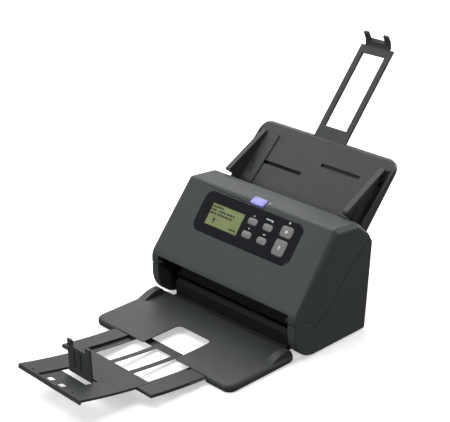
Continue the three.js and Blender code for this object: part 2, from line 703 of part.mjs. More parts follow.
piece(path, 'feed_tray', feedTray(), FINISH.dark);
piece(path, 'feed_tray_underside', feedTrayUnderside(), FINISH.dark);
for (const [name, turn] of [['right', 0], ['left', 180]]) {
  const place = (solid) => (turn ? solid.translate([0, -PINION_S, 0]).rotate([0, 0, 180])
    .translate([0, PINION_S, 0]) : solid);
  piece(path, `guide_rack_${name}`, place(guideRack()), FINISH.black);
}
piece(path, 'guide_right', feedGuide(1), FINISH.dark);
piece(path, 'guide_left', mirrored(feedGuide(-1)), FINISH.dark);
piece(path, 'guide_pinion', guidePinion(), FINISH.black);
piece(path, 'feed_extension', feedExtension(), FINISH.dark);

// ---------- eject tray and its two curved extensions ----------

function onArc(y, radius) {
  const angle = Math.asin((ARC_CENTRE[0] - y) / ARC_R);
  return [ARC_CENTRE[0] - radius * Math.sin(angle), ARC_CENTRE[1] - radius * Math.cos(angle)];
}

// A band of the sliding arc, seen from the side, between two places along it and two depths.
function arcBand(front, rear, top, bottom, steps = 5) {
  const along = (i) => front + ((rear - front) * i) / steps;
  const points = [];
  for (let i = 0; i <= steps; i += 1) points.push(onArc(along(i), ARC_R + bottom));
  for (let i = steps; i >= 0; i -= 1) points.push(onArc(along(i), ARC_R + top));
  return points;
}

function ejectTray() {
  const corner = 13;
  const rearCorner = 14;
  const rear = -125.2;
  const plan = new THREE.Shape();
  plan.moveTo(-EJECT_HALF, EJECT_FRONT + corner);
  plan.absarc(-EJECT_HALF + corner, EJECT_FRONT + corner, corner, Math.PI, 1.5 * Math.PI);
  plan.lineTo(EJECT_HALF - corner, EJECT_FRONT);
  plan.absarc(EJECT_HALF - corner, EJECT_FRONT + corner, corner, -Math.PI / 2, 0);
  plan.absarc(EJECT_HALF - rearCorner, rear - rearCorner, rearCorner, 0, Math.PI / 2);
  plan.absarc(-EJECT_HALF + rearCorner, rear - rearCorner, rearCorner, Math.PI / 2, Math.PI);
  const ears = [-1, 1].map((side) => prismX([
    [-176, 8], [-133, 8], [-133, 15.5], [-137, 19], [-147, 19], [-156, 17],
  ], side > 0 ? 119 : -131.5, side > 0 ? 131.5 : -119));
  const block = join(slab(plan, 0, EJECT_TOP, 4, 5), box(-109, 109, rear - 5, -118.4, 1, 8), ...ears);
  const well = STAGE1.half + 0.6;
  const bay = box(-well, well, EJECT_FRONT - 5, -132.5, -5, EJECT_TOP - EJECT_DECK);
  const notch = slab(roundedRect(64, 130, 8, 0, EJECT_FRONT), -5, 20);
  const grooves = prismX(arcBand(-262, -131.5, 1, 3), -well - 3, well + 3);
  return cut(block, bay, notch, grooves);
}

// The side rails of the first stage hold the second stage, which slides over the thin web between them.
function stage1() {
  const { half, front, rear } = STAGE1;
  const rails = prismX(arcBand(front, rear, 0, STAGE1_THICK), -half, half);
  const tongues = prismX(arcBand(front + 60, rear, 1.4, 2.6), -half - 2.5, half + 2.5);
  const well = STAGE2.half + 0.6;
  const bay = prismX(arcBand(front - 10, rear + 6, -5, STAGE2_THICK + 0.4), -well, well);
  const grooves = prismX(arcBand(front - 10, rear - 5, 0.8, 2.8), -well - 3, well + 3);
  const windows = [-38, 0, 38].map((x) => prismX(arcBand(front + 14, rear - 14, -5, 20), x - 15, x + 15));
  return cut(join(rails, tongues), bay, grooves, ...windows);
}

const stopperPivot = () => [STOPPER_PIVOT_Y, onArc(STOPPER_PIVOT_Y, ARC_R + STAGE2_THICK / 2)[1]];

function stage2() {
  const { half, front, rear } = STAGE2;
  const body = prismX(arcBand(front, rear, 0, STAGE2_THICK), -half, half);
  const lip = prismX(arcBand(front - 0.6, front + 1.5, 0, 6, 1), -half, half);
  const tongues = prismX(arcBand(front + 85, rear, 1.2, 2.4), -half - 2.5, half + 2.5);
  const bedHalf = STOPPER_HALF + 4.5;
  const bedFront = STOPPER_PIVOT_Y - STOPPER_HEIGHT - 0.4;
  const bed = prismX(arcBand(bedFront, STOPPER_PIVOT_Y + 5, -5, STAGE2_THICK - 1), -bedHalf, bedHalf);
  const slot = prismX(arcBand(STOPPER_PIVOT_Y - 10, STOPPER_PIVOT_Y + 5, -5, 12), -bedHalf, bedHalf);
  const vents = [-16, 6].map((x) => prismX(arcBand(bedFront + 5, bedFront + 13, -5, 12), x, x + 10));
  const holes = [-1, 1].map((side) => discZ(1.7, side * 40, front + 5.5, 20, 60, 16));
  const bore = rodX(1.2, -STOPPER_HALF - 9, STOPPER_HALF + 9, ...stopperPivot(), 12);
  return cut(join(body, lip, tongues), bed, slot, ...vents, ...holes, bore);
}

// The fence that stops the sheets: it stands up from the second stage and folds forward into it.
function stopper() {
  const [y, z] = stopperPivot();
  const top = z + STOPPER_HEIGHT;
  const plate = prismX([[y - 1.5, z], [y + 1.5, z], [y + 1.5, top], [y - 1.5, top]], -STOPPER_HALF, STOPPER_HALF);
  const saddle = box(-STOPPER_HALF + 9, STOPPER_HALF - 9, y - 5, y + 5, top - 8, top + 5);
  const slots = [-9, 3].map((x) => box(x - 1, x + 1, y - 5, y + 5, z + 8, top - 12));
  const barrel = rodX(1.6, -STOPPER_HALF, STOPPER_HALF, y, z, 16);
  const stubs = rodX(0.9, -STOPPER_HALF - 7, STOPPER_HALF + 7, y, z, 12);
  return join(cut(plate, saddle, ...slots), barrel, stubs);
}

piece(machine, 'eject_tray', ejectTray(), FINISH.dark);
piece(machine, 'eject_extension_1', stage1(), FINISH.dark);
piece(machine, 'eject_extension_2', stage2(), FINISH.dark);
piece(machine, 'eject_stopper', stopper(), FINISH.dark);

export default scanner;
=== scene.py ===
"""Looks of the sheet-fed document scanner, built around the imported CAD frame.

Shapes are drawn in millimetres in the same inclined frames as the CAD part, and become metres when
a mesh is made. Y and Z profiles have y = 0 at the body's rear bottom edge.
"""

import json
import math

import bmesh
import bpy
from mathutils import Matrix, Vector

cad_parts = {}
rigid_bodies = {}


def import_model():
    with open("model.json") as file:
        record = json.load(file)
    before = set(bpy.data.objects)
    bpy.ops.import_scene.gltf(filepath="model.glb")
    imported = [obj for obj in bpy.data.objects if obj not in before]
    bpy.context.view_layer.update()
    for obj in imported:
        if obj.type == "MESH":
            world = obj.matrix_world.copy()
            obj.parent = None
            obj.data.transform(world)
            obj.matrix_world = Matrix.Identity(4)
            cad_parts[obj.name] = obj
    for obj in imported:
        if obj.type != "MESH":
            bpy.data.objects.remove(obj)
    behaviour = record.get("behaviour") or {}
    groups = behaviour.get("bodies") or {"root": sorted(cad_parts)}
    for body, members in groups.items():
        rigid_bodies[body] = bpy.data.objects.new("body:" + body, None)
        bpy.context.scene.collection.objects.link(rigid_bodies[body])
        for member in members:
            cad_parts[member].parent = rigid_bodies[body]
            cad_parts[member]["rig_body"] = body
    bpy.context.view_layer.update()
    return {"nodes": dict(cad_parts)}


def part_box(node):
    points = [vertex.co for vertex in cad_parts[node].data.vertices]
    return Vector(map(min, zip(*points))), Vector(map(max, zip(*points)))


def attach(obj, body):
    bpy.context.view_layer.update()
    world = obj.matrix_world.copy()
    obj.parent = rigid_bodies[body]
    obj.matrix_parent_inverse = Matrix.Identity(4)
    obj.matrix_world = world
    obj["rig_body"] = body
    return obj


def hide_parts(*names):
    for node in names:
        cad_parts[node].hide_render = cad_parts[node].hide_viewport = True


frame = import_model()

MM = 0.001

# ---------- frames and main dimensions ----------

EJECT_FRONT = -246.0
Y_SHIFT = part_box("eject_tray")[0].y - EJECT_FRONT * MM
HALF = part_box("side_cover_right")[1].x / MM
LEG_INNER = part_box("side_cover_right")[0].x / MM
LIP = (-131.4, 73.6)
CREASE = (-59.1, 163.3)
RIDGE = (-13.8, 158.9)
REAR_TOP = (12.1, 125.6)
FRONT_Y = -135.5
HINGE = (FRONT_Y + 4.4, 56.5)
CHIN = (FRONT_Y, 68.5)
SEAM_LINE = [
    (8, 133.6), (-23, 110.2), (-51.5, 79.9), (-79.9, 51.2), (-98.7, 41), (-104.3, 48.3), (-119.1, 54.6),
]
SEAM = 0.4
SLOPE_ANGLE = math.atan2(CREASE[1] - LIP[1], CREASE[0] - LIP[0])
PATH_ANGLE = math.radians(48.6)
LENS_ANGLE = SLOPE_ANGLE / 2 - math.radians(2.8)
PATH_ORIGIN = (-2.7, 152.3)


def inclined(origin, angle):
    """A frame whose local Y runs up an incline about X through a point of the side view."""
    place = Matrix.Translation((0, Y_SHIFT + origin[0] * MM, origin[1] * MM))
    return place @ Matrix.Rotation(angle, 4, "X")


MACHINE = Matrix.Translation((0, Y_SHIFT, 0))
PATH = inclined(PATH_ORIGIN, PATH_ANGLE)
SLOPE = inclined(LIP, SLOPE_ANGLE)
LENS_FRAME = inclined(CREASE, LENS_ANGLE)

# ---------- outlines ----------


def arc(centre, radius, start, end, steps):
    """Points along an arc, with angles in degrees."""
    angles = [math.radians(start + (end - start) * i / steps) for i in range(steps + 1)]
    return [(centre[0] + radius * math.cos(a), centre[1] + radius * math.sin(a)) for a in angles]


def fillet(points, radii, steps=7):
    """A closed outline with its corners rounded, each to its own radius."""
    rounded = []
    count = len(points)
    for i, corner in enumerate(points):
        radius = radii[i] if isinstance(radii, (list, tuple)) else radii
        here = Vector(corner)
        back = Vector(points[i - 1]) - here
        ahead = Vector(points[(i + 1) % count]) - here
        half = back.angle(ahead) / 2
        if radius <= 0 or half > math.radians(88.5):
            rounded.append(tuple(here))
            continue
        reach = min(radius / math.tan(half), 0.49 * back.length, 0.49 * ahead.length)
        radius = reach * math.tan(half)
        middle = here + (back.normalized() + ahead.normalized()).normalized() * radius / math.sin(half)
        first = here + back.normalized() * reach - middle
        last = here + ahead.normalized() * reach - middle
        sweep = first.angle_signed(last)
        for k in range(steps + 1):
            turned = first.copy()
            turned.rotate(Matrix.Rotation(-sweep * k / steps, 2))
            rounded.append(tuple(middle + turned))
    return rounded


def area(points):
    """The signed area: positive where the outline runs anticlockwise."""
    following = points[1:] + points[:1]
    return sum(a[0] * b[1] - b[0] * a[1] for a, b in zip(points, following)) / 2


def inset(points, distance):
    """The outline moved inwards, by one distance or by one for each point, keeping its number of points."""
    count = len(points)
    distances = distance if isinstance(distance, list) else [distance] * count
    turn = 1 if area(points) > 0 else -1
    moved = []
    for i, corner in enumerate(points):
        here = Vector(corner)
        back = here - Vector(points[i - 1])
        ahead = Vector(points[(i + 1) % count]) - here
        edges = [edge for edge in (back, ahead) if edge.length > 1e-6]
        normals = [Vector((-edge.y, edge.x)).normalized() * turn for edge in edges]
        mean = sum(normals, Vector((0, 0))).normalized()
        scale = max(mean.dot(normals[0]), 0.35)
        moved.append(tuple(here + mean * distances[i] / scale))
    return moved


def rounded_rect(width, height, corner, x=0.0, y=0.0, steps=8):
    """A rectangle about (x, y) with rounded corners."""
    left, right = x - width / 2, x + width / 2
    low, high = y - height / 2, y + height / 2
    return fillet([(left, low), (right, low), (right, high), (left, high)], corner, steps)


def ellipse(radius_x, radius_y, x, y, steps=32):
    """An ellipse about (x, y)."""
    turns = [2 * math.pi * i / steps for i in range(steps)]
    return [(x + radius_x * math.cos(t), y + radius_y * math.sin(t)) for t in turns]


# ---------- meshes ----------


def along_x(a, b, c):
    """A side-view point (y, z) at a distance c along X."""
    return Vector((c, a, b)) * MM


def along_z(a, b, c):
    """A plan point (x, y) at a height c."""
    return Vector((a, b, c)) * MM


def new_object(name, bm, place):
    """A scene object made from the mesh, with its faces turned outwards."""
    bmesh.ops.recalc_face_normals(bm, faces=bm.faces)
    mesh = bpy.data.meshes.new(name)
    bm.to_mesh(mesh)
    bm.free()
    obj = bpy.data.objects.new(name, mesh)
    bpy.context.scene.collection.objects.link(obj)
    obj.matrix_world = place
    return obj


def loft(name, rings, to_point, place):
    """A closed mesh through equal rings of (a, b) points; a ring has one level, or one per point."""
    bm = bmesh.new()
    loops = []
    for ring, level in rings:
        levels = level if isinstance(level, list) else [level] * len(ring)
        loops.append([bm.verts.new(to_point(a, b, c)) for (a, b), c in zip(ring, levels)])
    for low, high in zip(loops, loops[1:]):
        for i in range(len(low)):
            j = (i + 1) % len(low)
            bm.faces.new((low[i], low[j], high[j], high[i]))
    bm.faces.new(loops[0])
    bm.faces.new(loops[-1])
    return new_object(name, bm, place)


def rim_rings(points, c0, c1, rim0, rim1, steps):
    """Rings from c0 to c1 whose ends curve in by quarter rounds."""
    rings = []
    for i in range(steps + 1 if rim0 else 1):
        turn = math.radians(90 * i / steps) if rim0 else math.pi / 2
        rings.append((inset(points, rim0 * (1 - math.sin(turn))), c0 + rim0 * (1 - math.cos(turn))))
    for i in range(steps + 1 if rim1 else 1):
        turn = math.radians(90 * i / steps) if rim1 else 0
        rings.append((inset(points, rim1 * (1 - math.cos(turn))), c1 - rim1 * (1 - math.sin(turn))))
    return rings


def slab(name, points, c0, c1, rims=(0, 0), place=MACHINE, to_point=along_z, steps=5):
    """An outline made solid from c0 to c1, with rounded rims where they are given."""
    return loft(name, rim_rings(points, c0, c1, rims[0], rims[1], steps), to_point, place)


def prism(name, points, x0, x1, rims=(0, 0), place=MACHINE, steps=5):
    """A side-view outline made solid from x0 to x1."""
    return slab(name, points, x0, x1, rims, place, along_x, steps)


def box(name, x0, x1, y0, y1, z0, z1, place=MACHINE):
    """A plain box between two corners."""
    return slab(name, [(x0, y0), (x1, y0), (x1, y1), (x0, y1)], z0, z1, place=place)


def turned(name, steps, y, z, place=MACHINE, sides=56):
    """A body of revolution about a line along X, from (x, radius) steps."""
    rings = []
    for x, radius in steps:
        rings.append((ellipse(radius, radius, y, z, sides), x))
    return loft(name, rings, along_x, place)


def settle(obj):
    """Replaces the object's mesh with what its modifiers make of it."""
    bpy.context.view_layer.update()
    evaluated = obj.evaluated_get(bpy.context.evaluated_depsgraph_get())
    made = bpy.data.meshes.new_from_object(evaluated)
    obj.modifiers.clear()
    obj.data = made
    return obj


def combine(obj, tools, operation="DIFFERENCE"):
    """Cuts, joins or intersects the object with the tools, which are then removed."""
    for tool in tools:
        step = obj.modifiers.new("step", "BOOLEAN")
        step.operation = operation
        step.solver = "MANIFOLD"
        step.object = tool
    settle(obj)
    for tool in tools:
        bpy.data.objects.remove(tool)
    clean(obj)
    return obj


def clean(obj, flat=1.0):
    """Merges doubled points and dissolves the edges inside flat faces."""
    bm = bmesh.new()
    bm.from_mesh(obj.data)
    bmesh.ops.remove_doubles(bm, verts=bm.verts, dist=2e-6)
    bmesh.ops.dissolve_limit(bm, angle_limit=math.radians(flat), verts=bm.verts, edges=bm.edges)
    bmesh.ops.dissolve_degenerate(bm, edges=bm.edges, dist=2e-6)
    bm.to_mesh(obj.data)
    bm.free()


def mirror_x(obj, name):
    """A mirrored copy on the other side of the machine."""
    bm = bmesh.new()
    bm.from_mesh(obj.data)
    bmesh.ops.scale(bm, vec=(-1, 1, 1), verts=bm.verts)
    return new_object(name, bm, obj.matrix_world.copy())


def soften(obj, width, segments=3, angle=32.0):
    """Rounds the sharp edges, and keeps flat faces flat in the shading."""
    obj.data.polygons.foreach_set("use_smooth", [True] * len(obj.data.polygons))
    if width > 0:
        bevel = obj.modifiers.new("edges", "BEVEL")
        bevel.width = width * MM
        bevel.segments = segments
        bevel.limit_method = "ANGLE"
        bevel.angle_limit = math.radians(angle)
        bevel.use_clamp_overlap = False
        bevel.miter_outer = "MITER_ARC"
        settle(obj)
    obj.data.set_sharp_from_angle(angle=math.radians(40))
    weighted = obj.modifiers.new("normals", "WEIGHTED_NORMAL")
    weighted.keep_sharp = True
    return settle(obj)


def dress(obj, material, body, nodes=(), width=0.4, segments=3, angle=32.0):
    """Finishes a piece: edges, material, body, and the CAD nodes that it stands for."""
    soften(obj, width, segments, angle)
    obj.data.materials.clear()
    obj.data.materials.append(material)
    obj.data.polygons.foreach_set("material_index", [0] * len(obj.data.polygons))
    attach(obj, body)
    if nodes:
        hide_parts(*nodes)
    return obj


def copied(node, name):
    """A copy of a CAD node's mesh, to be reworked."""
    copy = bpy.data.objects.new(name, frame["nodes"][node].data.copy())
    bpy.context.scene.collection.objects.link(copy)
    clean(copy)
    return copy


def refined(node, material, width=0.3, segments=2):
    """A softened copy of a CAD node, which it replaces."""
    body = frame["nodes"][node]["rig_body"]
    return dress(copied(node, node + "_fine"), material, body, [node], width, segments)


# ---------- materials ----------


class Nodes:
    """A material's node tree, with short calls to add and join nodes."""

    def __init__(self, name):
        self.material = bpy.data.materials.new(name)
        self.material.use_nodes = True
        self.tree = self.material.node_tree
        self.shader = self.tree.nodes["Principled BSDF"]
        self.where = self.add("ShaderNodeTexCoord").outputs["Object"]

    def add(self, kind, **settings):
        node = self.tree.nodes.new(kind)
        for key, value in settings.items():
            if key in node.inputs:
                node.inputs[key].default_value = value
            else:
                setattr(node, key, value)
        return node

    def join(self, source, target):
        self.tree.links.new(source, target)

    def noise(self, scale, detail=4.0, roughness=0.6, stretch=None):
        node = self.add("ShaderNodeTexNoise")
        node.inputs["Scale"].default_value = scale
        node.inputs["Detail"].default_value = detail
        node.inputs["Roughness"].default_value = roughness
        source = self.where
        if stretch:
            mapping = self.add("ShaderNodeMapping")
            mapping.inputs["Scale"].default_value = stretch
            self.join(source, mapping.inputs["Vector"])
            source = mapping.outputs["Vector"]
        self.join(source, node.inputs["Vector"])
        return node.outputs["Fac"]

    def cells(self, scale):
        node = self.add("ShaderNodeTexVoronoi")
        node.inputs["Scale"].default_value = scale
        self.join(self.where, node.inputs["Vector"])
        return node.outputs["Distance"]

    def ramp(self, source, stops):
        node = self.add("ShaderNodeValToRGB")
        ramp = node.color_ramp
        for i, (position, colour) in enumerate(stops):
            stop = ramp.elements[i] if i < 2 else ramp.elements.new(position)
            stop.position = position
            stop.color = (*colour, 1)
        self.join(source, node.inputs["Fac"])
        return node.outputs["Color"]

    def range(self, source, low, high):
        node = self.add("ShaderNodeMapRange")
        node.inputs["To Min"].default_value = low
        node.inputs["To Max"].default_value = high
        self.join(source, node.inputs["Value"])
        return node.outputs["Result"]

    def colour(self, source):
        self.join(source, self.shader.inputs["Base Color"])

    def set(self, **values):
        for key, value in values.items():
            self.shader.inputs[key.replace("_", " ")].default_value = value

    def bump(self, source, strength, depth_mm, below=None):
        node = self.add("ShaderNodeBump")
        node.inputs["Strength"].default_value = strength
        node.inputs["Distance"].default_value = depth_mm * MM
        self.join(source, node.inputs["Height"])
        if below:
            self.join(below, node.inputs["Normal"])
        self.join(node.outputs["Normal"], self.shader.inputs["Normal"])
        return node.outputs["Normal"]


def shade(colour, factor):
    """The colour made darker or lighter by a factor."""
    return tuple(min(1.0, channel * factor) for channel in colour)


def plastic(name, colour, rough=(0.42, 0.56), grain=2600.0, depth=0.012, mottle=0.06, specular=0.45):
    """Moulded plastic: a fine spark-eroded grain, slight mottling, and hand-worn patches of gloss."""
    n = Nodes(name)
    n.colour(n.ramp(n.noise(38, 5), [(0.3, shade(colour, 1 - mottle)), (0.7, shade(colour, 1 + mottle))]))
    n.join(n.range(n.noise(60, 6, 0.7), *rough), n.shader.inputs["Roughness"])
    n.set(Specular_IOR_Level=specular, IOR=1.5)
    coarse = n.bump(n.cells(grain * 0.45), 0.35, depth)
    n.bump(n.noise(grain, 3, 0.55), 0.55, depth, coarse)
    return n.material


def gloss_panel(name):
    """Clear-coated black panel with faint wipe marks in its gloss."""
    n = Nodes(name)
    n.colour(n.ramp(n.noise(25, 3), [(0.35, (0.0075, 0.0085, 0.0105)), (0.7, (0.0095, 0.0105, 0.0125))]))
    n.join(n.range(n.noise(70, 6, 0.7, (1, 5, 1)), 0.09, 0.2), n.shader.inputs["Roughness"])
    n.set(Specular_IOR_Level=0.5, IOR=1.5, Coat_Weight=0.6, Coat_Roughness=0.06, Coat_IOR=1.5)
    n.bump(n.noise(9, 2), 0.08, 0.2)
    return n.material


def liquid_crystal(name):
    """Reflective display glass: a fine pixel grid over a cloudy yellow-green ground."""
    n = Nodes(name)
    cloudy = n.ramp(n.noise(30, 3), [(0.3, (0.17, 0.20, 0.085)), (0.75, (0.235, 0.27, 0.125))])
    grid = n.add("ShaderNodeTexBrick")
    grid.offset = 0
    grid.inputs["Scale"].default_value = 1
    grid.inputs["Brick Width"].default_value = 0.55 * MM
    grid.inputs["Row Height"].default_value = 0.55 * MM
    grid.inputs["Mortar Size"].default_value = 0.03 * MM
    grid.inputs["Mortar"].default_value = (0.15, 0.175, 0.08, 1)
    n.join(n.where, grid.inputs["Vector"])
    n.join(cloudy, grid.inputs["Color1"])
    n.join(cloudy, grid.inputs["Color2"])
    n.colour(grid.outputs["Color"])
    n.join(cloudy, n.shader.inputs["Emission Color"])
    n.join(n.range(n.noise(50, 4), 0.12, 0.22), n.shader.inputs["Roughness"])
    n.set(Emission_Strength=0.12, Specular_IOR_Level=0.5, Coat_Weight=0.5, Coat_Roughness=0.05)
    return n.material


def lit_lens(name):
    """A translucent button lit from inside, brightest at the middle."""
    n = Nodes(name)
    n.where = n.tree.nodes["Texture Coordinate"].outputs["Generated"]
    mapping = n.add("ShaderNodeMapping")
    mapping.inputs["Location"].default_value = (-0.5, -0.5, -0.5)
    n.join(n.where, mapping.inputs["Vector"])
    glow = n.add("ShaderNodeTexGradient", gradient_type="SPHERICAL")
    n.join(mapping.outputs["Vector"], glow.inputs["Vector"])
    colour = n.ramp(glow.outputs["Fac"], [(0.15, (0.12, 0.10, 0.42)), (0.7, (0.25, 0.28, 0.64))])
    n.colour(colour)
    n.join(colour, n.shader.inputs["Emission Color"])
    n.join(n.range(n.noise(400, 4), 0.2, 0.34), n.shader.inputs["Roughness"])
    n.set(Emission_Strength=0.16, Subsurface_Weight=0.2, Coat_Weight=0.3, Coat_Roughness=0.1)
    n.shader.inputs["Subsurface Radius"].default_value = (0.002, 0.002, 0.004)
    return n.material


def rubber(name, colour):
    """Matt black rubber with a coarse grain."""
    n = Nodes(name)
    n.colour(n.ramp(n.noise(120, 5), [(0.3, shade(colour, 0.8)), (0.75, shade(colour, 1.25))]))
    n.join(n.range(n.noise(300, 4), 0.72, 0.92), n.shader.inputs["Roughness"])
    n.set(Specular_IOR_Level=0.3)
    n.bump(n.noise(3000, 4, 0.7), 0.8, 0.03)
    return n.material


def brushed_steel(name):
    """Steel with fine brush lines along X."""
    n = Nodes(name)
    n.colour(n.ramp(n.noise(90, 5), [(0.3, (0.52, 0.53, 0.54)), (0.7, (0.64, 0.65, 0.66))]))
    n.join(n.range(n.noise(900, 4, 0.6, (0.04, 1, 1)), 0.22, 0.4), n.shader.inputs["Roughness"])
    n.set(Metallic=1.0, Anisotropic=0.4)
    n.bump(n.noise(1600, 3, 0.6, (0.03, 1, 1)), 0.3, 0.01)
    return n.material


def scan_glass(name):
    """Dark, clear-coated glass over the sensor."""
    n = Nodes(name)
    n.colour(n.ramp(n.noise(60, 3), [(0.3, (0.10, 0.13, 0.135)), (0.7, (0.13, 0.165, 0.17))]))
    n.join(n.range(n.noise(140, 5), 0.03, 0.1), n.shader.inputs["Roughness"])
    n.set(Specular_IOR_Level=0.6, Coat_Weight=1.0, Coat_Roughness=0.02)
    return n.material


def circuit_board(name):
    """Green board with a cellular pattern of raised traces."""
    n = Nodes(name)
    traces = n.ramp(n.cells(420), [(0.25, (0.012, 0.075, 0.035)), (0.45, (0.02, 0.13, 0.06))])
    n.colour(traces)
    n.join(n.range(n.noise(200, 4), 0.3, 0.5), n.shader.inputs["Roughness"])
    n.bump(n.cells(420), 0.4, 0.04)
    return n.material


def printed(name, colour, rough=0.5):
    """Thin ink with slight unevenness."""
    n = Nodes(name)
    n.colour(n.ramp(n.noise(500, 3), [(0.3, shade(colour, 0.92)), (0.7, shade(colour, 1.05))]))
    n.join(n.range(n.noise(800, 3), rough - 0.06, rough + 0.06), n.shader.inputs["Roughness"])
    return n.material


CASING = plastic("casing_grey", (0.050, 0.0555, 0.0565), specular=0.22)
TRAY = plastic(
    "tray_grey", (0.040, 0.044, 0.0435), rough=(0.4, 0.55), grain=1900, depth=0.018, specular=0.25,
)
BLACK = plastic(
    "inner_black", (0.007, 0.0075, 0.0075), rough=(0.4, 0.6), grain=1500, depth=0.02, specular=0.2,
)
GLOSS = gloss_panel("gloss_black")
KEY = plastic("key_grey", (0.165, 0.17, 0.17), rough=(0.3, 0.42), grain=3200, depth=0.006, mottle=0.04)
LENS = lit_lens("lens_lilac")
SCREEN = liquid_crystal("screen_green")
INK_DARK = printed("lcd_ink", (0.012, 0.016, 0.010), 0.4)
INK_LIGHT = printed("print_white", (0.44, 0.47, 0.47), 0.45)
INK_KEY = printed("print_key", (0.62, 0.64, 0.63), 0.45)
RUBBER = rubber("rubber_black", (0.014, 0.014, 0.014))
STEEL = brushed_steel("steel_brushed")
GLASS = scan_glass("glass_dark")
BOARD = circuit_board("board_green")
DARK = plastic(
    "works_dark", (0.022, 0.024, 0.0245), rough=(0.45, 0.6), grain=1500, depth=0.02, specular=0.25,
)

# ---------- body: both halves are cut from one rounded block ----------

EDGE = 2.2
SHOULDER = 8.0
BIG = 400


def body_outline():
    """The side view, with the side-edge radius at each point: wide on the top facet, small elsewhere."""
    toe = arc((-99, 38), 36.5, 180, 270, 18)
    corners = [toe[-1], (-1, 1.5), REAR_TOP, (4.6, 138.8), RIDGE, CREASE, CHIN, toe[0]]
    rounded = fillet(corners, [0, 3.5, 8, 12, 7, 6, 24, 0], 9)
    points = toe + rounded[1:-1]
    low = 138
    high = CREASE[1] - 4
    edges = []
    for _, z in points:
        share = min(1.0, max(0.0, (z - low) / (high - low)))
        edges.append(EDGE + (SHOULDER - EDGE) * share ** 1.5)
    return points, edges


def whole_body(name):
    """One solid block with the outline of the body and rounded side edges."""
    points, edges = body_outline()
    steps = 8
    rings = []
    for side in (-1, 1):
        ends = []
        for i in range(steps + 1):
            turn = math.radians(90 * i / steps)
            moved = inset(points, [edge * (1 - math.sin(turn)) for edge in edges])
            ends.append((moved, [side * (HALF - edge * (1 - math.cos(turn))) for edge in edges]))
        rings += ends if side < 0 else ends[::-1]
    return loft(name, rings, along_x, MACHINE)


def seam_side(offset):
    """The seam between the cover and the base, moved up or down."""
    return [(y, z + offset) for y, z in SEAM_LINE]


def front_region():
    """Everything above the seam, past the outline on the other sides."""
    knuckle = arc(HINGE, 4.4, 180, 340, 18)
    seam = seam_side(SEAM)[::-1]
    return [(-160, HINGE[1]), *knuckle, *seam, (40, 157), (40, 220), (-160, 220)]


def base_region():
    """Everything below the seam, with the round socket that the hinge knuckle turns in."""
    socket = arc(HINGE, 5.0, 332, 222, 14)
    return [(-160, 52.2), (-160, -20), (60, -20), (60, 172), *seam_side(-SEAM), *socket, (FRONT_Y, 52.2)]


PANEL = {"half": 92, "low": 47, "high": 107, "corner": 13}
PANEL_MIDDLE = (PANEL["low"] + PANEL["high"]) / 2
LCD = {"x": -42.5, "u": 76, "width": 63, "height": 32}
BUTTONS = {
    "button_up": (6.4, 86.5, 17.4, 9.4),
    "button_menu": (34.6, 86.5, 17.4, 9.4),
    "button_down": (6.4, 67.1, 17.4, 9.4),
    "button_ok": (34.6, 67.1, 17.4, 9.4),
    "button_stop": (67.5, 90.3, 21, 15.4),
    "button_start": (67.5, 67.5, 21, 22),
}


def panel_outline(margin):
    width = 2 * (PANEL["half"] + margin)
    height = PANEL["high"] - PANEL["low"] + 2 * margin
    return rounded_rect(width, height, PANEL["corner"] + margin, 0, PANEL_MIDDLE, 12)


def button_outline(name, margin, corner=4.0):
    x, u, width, height = BUTTONS[name]
    return rounded_rect(width + 2 * margin, height + 2 * margin, corner + margin, x, u, 8)


def button_holes(margin, v0, v1):
    """Cutting tools a little wider than the six keys."""
    return [slab("hole", button_outline(name, margin), v0, v1, place=SLOPE) for name in BUTTONS]


def cover_hollows():
    """What is cut out of the front cover: its inner room, the way under it, the mouth and the throat."""
    inner = HALF - 3
    throat_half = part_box("feed_tray")[1].x / MM + 2.5
    chamber = [
        (-127, 77), (-57.5, 160.2), (-16, 156), (-2, 139), (-20, 114), (-50, 83), (-78, 54), (-96, 43.5),
        (-100, 50), (-115, 66),
    ]
    underside = [
        (-112, 48), (-98, 70), (-70, 100), (-30, 135), (-18, 150), (10, 150), (20, 120), (-60, 40),
        (-100, 25),
    ]
    mouth = fillet([
        (-150, 40), (-150, 66.5), (-127.5, 66.5), (-124, 70), (-110, 90), (-60, 110), (-60, 60), (-99, 30),
    ], [0, 0, 1, 3, 6, 0, 0, 0], 4)
    throat = [(-13.4, 180), (-13.4, 140), (0, 90), (60, 90), (60, 180)]
    rooms = [prism("chamber", chamber, -inner, inner), prism("under", underside, -inner, inner)]
    ways = [
        prism("mouth", mouth, -LEG_INNER, LEG_INNER),
        prism("throat", throat, -throat_half, throat_half),
    ]
    return rooms, ways


def front_cover():
    """The swinging cover: cut from the body block, with all its openings."""
    rooms, ways = cover_hollows()
    lcd = rounded_rect(LCD["width"], LCD["height"], 1, LCD["x"], LCD["u"])
    lens = rounded_rect(25.8, 13.8, 3)
    cover = whole_body("front_cover_shell")
    combine(cover, [prism("region", front_region(), -BIG, BIG)], "INTERSECT")
    combine(cover, rooms)
    combine(cover, ways)
    combine(cover, [slab("panel", panel_outline(0.3), -1.9, 10, place=SLOPE)])
    combine(cover, [slab("lcd", lcd, -20, 10, place=SLOPE), *button_holes(0.9, -20, 10)])
    combine(cover, [
        slab("lens", lens, -12, 10, place=LENS_FRAME),
        box("lever", -HALF - 1, -HALF + 12, -31.8, -8, 131.5, 145.5),
        turned("pin", [(-HALF + 3.5, 2.2), (HALF - 3.5, 2.2)], *HINGE, sides=24),
    ])
    dress(cover, CASING, "front_unit", ["front_cover"], 0.55, 3)


